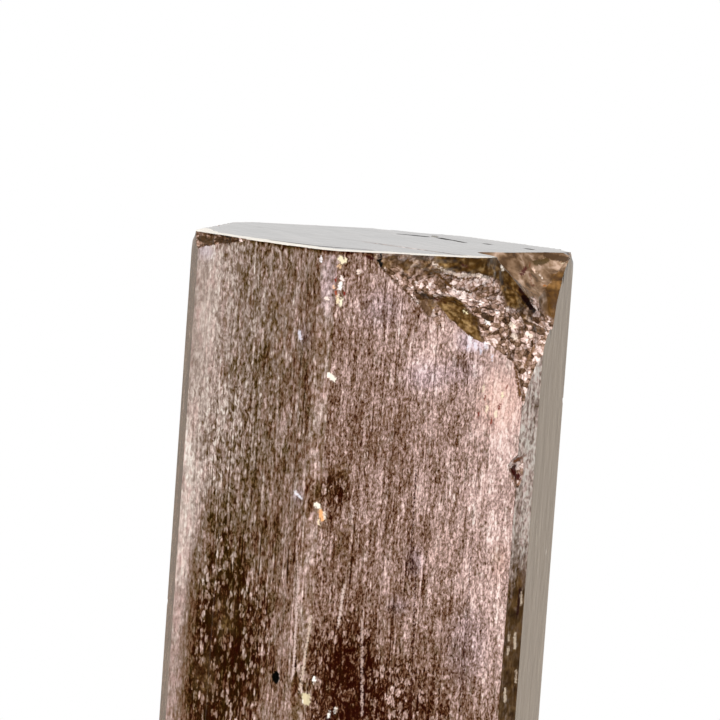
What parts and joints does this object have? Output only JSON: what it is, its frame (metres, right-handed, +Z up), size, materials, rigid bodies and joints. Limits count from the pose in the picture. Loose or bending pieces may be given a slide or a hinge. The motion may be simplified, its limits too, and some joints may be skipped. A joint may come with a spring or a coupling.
{
  "type": "apatite crystal",
  "caption": "Stout six-sided mineral crystal with a flat end face, bevelled upright corners, a shell-like chip at one top corner and a flat broken base.",
  "frame": {"origin": "middle of the flat base that the crystal stands on", "axes": "+Z up the crystal's long axis; the wide front prism face looks along -Y"},
  "size_m": [0.0242, 0.021, 0.045],
  "materials": {
    "apatite": "vitreous prism faces, finely streaked pinkish brown, translucent, with a glassy shell-like break"
  },
  "bodies": {
    "root": {"apatite_crystal": "apatite"}
  },
  "joints": []
}
